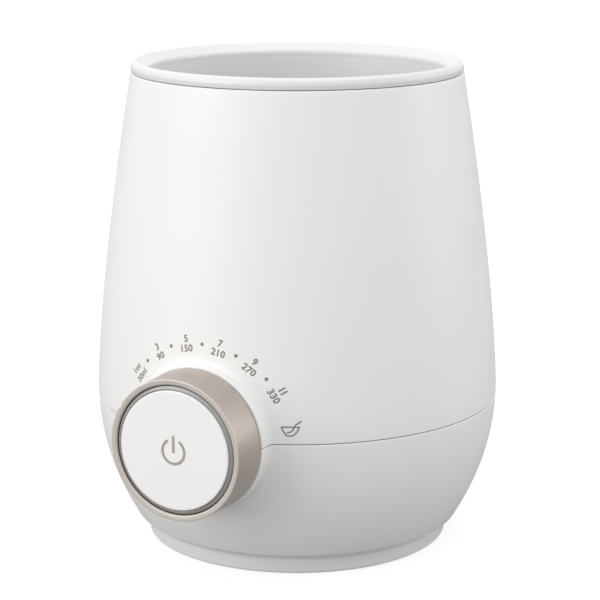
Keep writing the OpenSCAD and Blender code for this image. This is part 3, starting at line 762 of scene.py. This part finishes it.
def glyphs(text, height, weight=0.033, narrow=1.02, gap=1.06):
    """Outlines of generic characters as flat polygons about (0, 0), with digits of this height in mm."""
    curve = bpy.data.curves.new("glyph", "FONT")
    curve.body = text
    curve.offset = weight
    curve.space_character = gap
    curve.resolution_u = 6
    obj = bpy.data.objects.new("glyph", curve)
    bpy.context.scene.collection.objects.link(obj)
    bpy.context.view_layer.update()
    mesh = bpy.data.meshes.new_from_object(obj.evaluated_get(bpy.context.evaluated_depsgraph_get()))
    points = [(v.co.x, v.co.y) for v in mesh.vertices]
    faces = [list(p.vertices) for p in mesh.polygons]
    bpy.data.objects.remove(obj)
    bpy.data.meshes.remove(mesh)
    scale = height / 0.69
    mid = (max(p[0] for p in points) + min(p[0] for p in points)) / 2
    return [((x - mid) * scale * narrow, (y - 0.345) * scale) for x, y in points], faces


def moved(shape, x, y, turn=0.0):
    c, s = math.cos(turn), math.sin(turn)
    verts, faces = shape
    return [(px * c - py * s + x, px * s + py * c + y) for px, py in verts], faces


def on_shell(x, y, h):
    """A point of the dial plane laid on the body: x to the right and y up from the dial's axis."""
    z = SEAM_Z + y
    u = math.sqrt(body_r(z) ** 2 - x * x)
    n = Vector((x, -u, 0)).normalized() * h
    return (x + n.x, -u + n.y, z)


def at_dial(shape, angle, radius):
    a = math.radians(angle)
    return moved(shape, radius * math.sin(a), radius * math.cos(a), -a)


SCALE_STEP = 22.4
marks = []
pairs = [("1oz", "30ml"), ("3", "90"), ("5", "150"), ("7", "210"), ("9", "270"), ("11", "330")]
for k, (ounces, millilitres) in enumerate(pairs):
    angle = 1.3 + SCALE_STEP * (k - 2.5)
    height = 1.85 if k == 0 else 2.15
    weight, gap = (0.042, 0.8) if ounces == "11" else (0.033, 1.06)
    marks.append(at_dial(glyphs(ounces, height, weight, gap=gap), angle, 33.0))
    marks.append(at_dial(glyphs(millilitres, height), angle, 29.8))
for k in range(5):
    dot = circle(0, 0, 0.62, 20)
    marks.append(at_dial((dot, [list(range(20))]), 1.1 + 22.6 * (k - 2), 31.3))
printed("scale_marks", marks, on_shell, mark_ink, "housing")

rim_y, foot_y = 1.25, -1.65
bowl = [
    ribbon([(-2.65, rim_y), (2.65, rim_y)], 0.45),
    ribbon(curve_through([(-2.6, rim_y), (-2.1, rim_y - 1.3), (-1.05, foot_y)]), 0.45),
    ribbon([(-1.05, foot_y), (0.8, foot_y)], 0.45),
    ribbon(curve_through([(0.8, foot_y), (2.0, rim_y - 1.5), (2.6, rim_y)]), 0.45),
    ribbon(curve_through([(3.0, rim_y + 1.85), (1.5, rim_y + 0.6), (0.95, rim_y - 0.5), (0.4, rim_y - 1.4),
                          (-0.85, rim_y - 1.95)]), 0.48),
]
a_bowl = math.radians(81)
bowl = [moved(s, 30.6 * math.sin(a_bowl), 30.6 * math.cos(a_bowl)) for s in bowl]
printed("bowl_mark", bowl, on_shell, mark_ink, "housing")


def on_face(x, y, h):
    return (x, -(face_u(math.hypot(x, y)) + h), SEAM_Z + y)


arc_r, arc_y, stroke = 4.05, -0.2, 0.95
turns = np.linspace(math.radians(35), math.radians(325), 40)
arc = [(arc_r * math.sin(t), arc_y + arc_r * math.cos(t)) for t in turns]
power = [ribbon(arc, stroke), ribbon([(0, -0.25), (0, 4.75)], stroke)]
printed("power_mark", power, on_face, icon_ink, "button")


# ------------------------------------------------------------------ inner parts, most with their CAD shape
zinc = metal("zinc_plate", (0.6, 0.6, 0.62), 0.34)
steel = metal("spring_steel", (0.5, 0.5, 0.52), 0.26)
aluminium = metal("aluminium", (0.7, 0.7, 0.71), 0.38)
brass = metal("tinned_brass", (0.66, 0.55, 0.36), 0.3)
grey_plastic = plastic("grey_plastic", (0.33, 0.34, 0.35), rough=0.45)
mid_plastic = plastic("sleeve_plastic", (0.5, 0.505, 0.51), rough=0.45)
natural = plastic("natural_nylon", (0.78, 0.76, 0.7), rough=0.4)
black_plastic = plastic("black_epoxy", (0.03, 0.03, 0.033), rough=0.5, vary=0.2)
blue_plastic = plastic("relay_blue", (0.035, 0.09, 0.32), rough=0.35)
dark_film = plastic("capacitor_sleeve", (0.04, 0.05, 0.12), rough=0.3)
green_plastic = plastic("terminal_green", (0.06, 0.32, 0.18), rough=0.4)
silicone = rubber("red_silicone", (0.42, 0.06, 0.04), 0.55)
bakelite = plastic("bakelite", (0.05, 0.045, 0.04), rough=0.42, vary=0.15)
mask_green = board("solder_mask", (0.015, 0.1, 0.045))
lamp = plastic("lamp_phosphor", (0.8, 0.72, 0.35), rough=0.25)
glass = plastic("fuse_glass", (0.72, 0.74, 0.7), rough=0.12)
ribbon_grey = plastic("ribbon_grey", (0.46, 0.46, 0.48), rough=0.5, scale=700.0, grain=0.4)


def coil(radius, wire, turns, start, end, sides=10, per_turn=30):
    """A round wire wound along the dial's axis from start to end."""
    count = int(turns * per_turn)
    verts = []
    for i in range(count + 1):
        for k in range(sides):
            b = math.tau * k / sides
            u = lerp(start, end, i / count) + wire * math.sin(b)
            verts.append(dial_axis(radius + wire * math.cos(b), math.tau * turns * i / count, u))
    faces = []
    for i in range(count):
        for k in range(sides):
            here, there, after = i * sides, (i + 1) * sides, (k + 1) % sides
            faces.append([here + k, there + k, there + after, here + after])
    faces += [list(range(sides)), list(range(count * sides, (count + 1) * sides))[::-1]]
    return verts, faces


# The spring stands on the sleeve's web at y = -62 and shortens by the button's travel of 1 mm
wound = coil(5.7, 0.45, 6.5, SPRING_START_U, SPRING_END_U)
spring = finish_mesh("return_spring", *wound, steel, "housing", replaces=["button_spring"])
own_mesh(spring)

LOOKS = {
    zinc: ["heater_screws", "sleeve_screws", "control_board_screws", "power_board_screws", "shell_screws",
           "base_screws", "clamp_screws"],
    steel: ["detent_spring", "stem_clip", "button_spring", "encoder_shaft"],
    aluminium: ["heating_element", "heater_clamp", "temperature_sensor"],
    brass: ["thermal_fuse"],
    grey_plastic: ["dial_carrier", "cord_clamp"],
    mid_plastic: ["dial_sleeve"],
    natural: ["button_stem", "encoder_pinion", "heater_leads"],
    black_plastic: ["control_chip", "mains_converter", "tactile_switch"],
    blue_plastic: ["relay"],
    dark_film: ["capacitor"],
    green_plastic: ["terminal_block", "rotary_encoder"],
    silicone: ["chamber_gasket"],
    bakelite: ["thermostat"],
    mask_green: ["control_board", "power_board"],
    lamp: ["status_leds"],
    glass: ["board_fuse"],
    ribbon_grey: ["ribbon_cable"],
    white: ["upper_shell", "lower_shell"],
    rim_white: ["rim_ring"],
    well_white: ["water_chamber"],
    foot_white_painted_shade: ["base_cover"],
    spun_steel: ["heater_plate"],
    grip_rubber: ["foot_ring"],
    taupe: ["dial_ring"],
    diffuser: ["light_guide"],
    button_white: ["power_button"],
    gland_rubber: ["cord_gland"],
}
for material, names in LOOKS.items():
    for name in names:
        node = nodes[name]
        if not node.material_slots:
            node.data.materials.append(material)
        for slot in node.material_slots:
            slot.material = material


# ------------------------------------------------------------------ floor, light and camera
def floor_material():
    """A light table that glows white itself, throws little light back up and can't be seen from below."""
    m, t, b = node_material("studio_floor")
    at = t.nodes.new("ShaderNodeTexCoord").outputs["Object"]
    shades = ramp(t, noise(t, at, 2.0), 0.3, 0.7, (0.24, 0.24, 0.24), (0.26, 0.26, 0.26))
    t.links.new(shades, b.inputs["Base Color"])
    b.inputs["Roughness"].default_value = 0.9
    b.inputs["Specular IOR Level"].default_value = 0.1
    glow = t.nodes.new("ShaderNodeEmission")
    ray = t.nodes.new("ShaderNodeLightPath")
    level = t.nodes.new("ShaderNodeMapRange")
    level.inputs["To Min"].default_value = 0.06
    level.inputs["To Max"].default_value = 0.8
    t.links.new(ray.outputs["Is Camera Ray"], level.inputs["Value"])
    t.links.new(level.outputs["Result"], glow.inputs["Strength"])
    seen = t.nodes.new("ShaderNodeAddShader")
    t.links.new(b.outputs["BSDF"], seen.inputs[0])
    t.links.new(glow.outputs["Emission"], seen.inputs[1])
    clear = t.nodes.new("ShaderNodeBsdfTransparent")
    side = t.nodes.new("ShaderNodeMixShader")
    t.links.new(t.nodes.new("ShaderNodeNewGeometry").outputs["Backfacing"], side.inputs["Fac"])
    t.links.new(seen.outputs["Shader"], side.inputs[1])
    t.links.new(clear.outputs["BSDF"], side.inputs[2])
    t.links.new(side.outputs["Shader"], t.nodes["Material Output"].inputs["Surface"])
    return m


floor_mesh = bpy.data.meshes.new("studio_floor")
floor_mesh.from_pydata([(-12, -12, 0), (12, -12, 0), (12, 12, 0), (-12, 12, 0)], [], [[0, 1, 2, 3]])
floor = bpy.data.objects.new("studio_floor", floor_mesh)
bpy.context.scene.collection.objects.link(floor)
floor_mesh.materials.append(floor_material())

world = bpy.data.worlds.new("studio")
bpy.context.scene.world = world
world.use_nodes = True
world.node_tree.nodes["Background"].inputs["Color"].default_value = (1.0, 1.0, 1.0, 1)
world.node_tree.nodes["Background"].inputs["Strength"].default_value = 1.0


def soft_light(name, place, aim, size, power, colour=(1, 1, 1)):
    data = bpy.data.lights.new(name, "AREA")
    data.shape = "RECTANGLE"
    data.size, data.size_y = size
    data.energy = power
    data.color = colour
    obj = bpy.data.objects.new(name, data)
    bpy.context.scene.collection.objects.link(obj)
    obj.location = place
    obj.rotation_euler = (Vector(aim) - Vector(place)).to_track_quat("-Z", "Y").to_euler()
    return obj


soft_light("key", (-0.9, -1.4, 0.62), (0, 0, 0.08), (1.2, 1.2), 11.8, (1.0, 0.98, 0.955))
soft_light("top", (0.1, -0.2, 1.6), (0, 0, 0.1), (1.6, 1.6), 3.0)
soft_light("edge", (1.7, 0.95, 0.6), (0, 0, 0.08), (0.8, 1.2), 7.0)

camera = bpy.data.objects.new("camera", bpy.data.cameras.new("camera"))
bpy.context.scene.collection.objects.link(camera)
camera.location = (0.3185, -0.6182, 0.2451)
camera.rotation_euler = (math.radians(90 - 13.15), 0, math.radians(27.26))
camera.data.lens = 121.19
camera.data.sensor_width = 36
camera.data.shift_x = 0.0046
camera.data.clip_end = 100
bpy.context.scene.camera = camera
bpy.context.scene.view_settings.view_transform = "Standard"
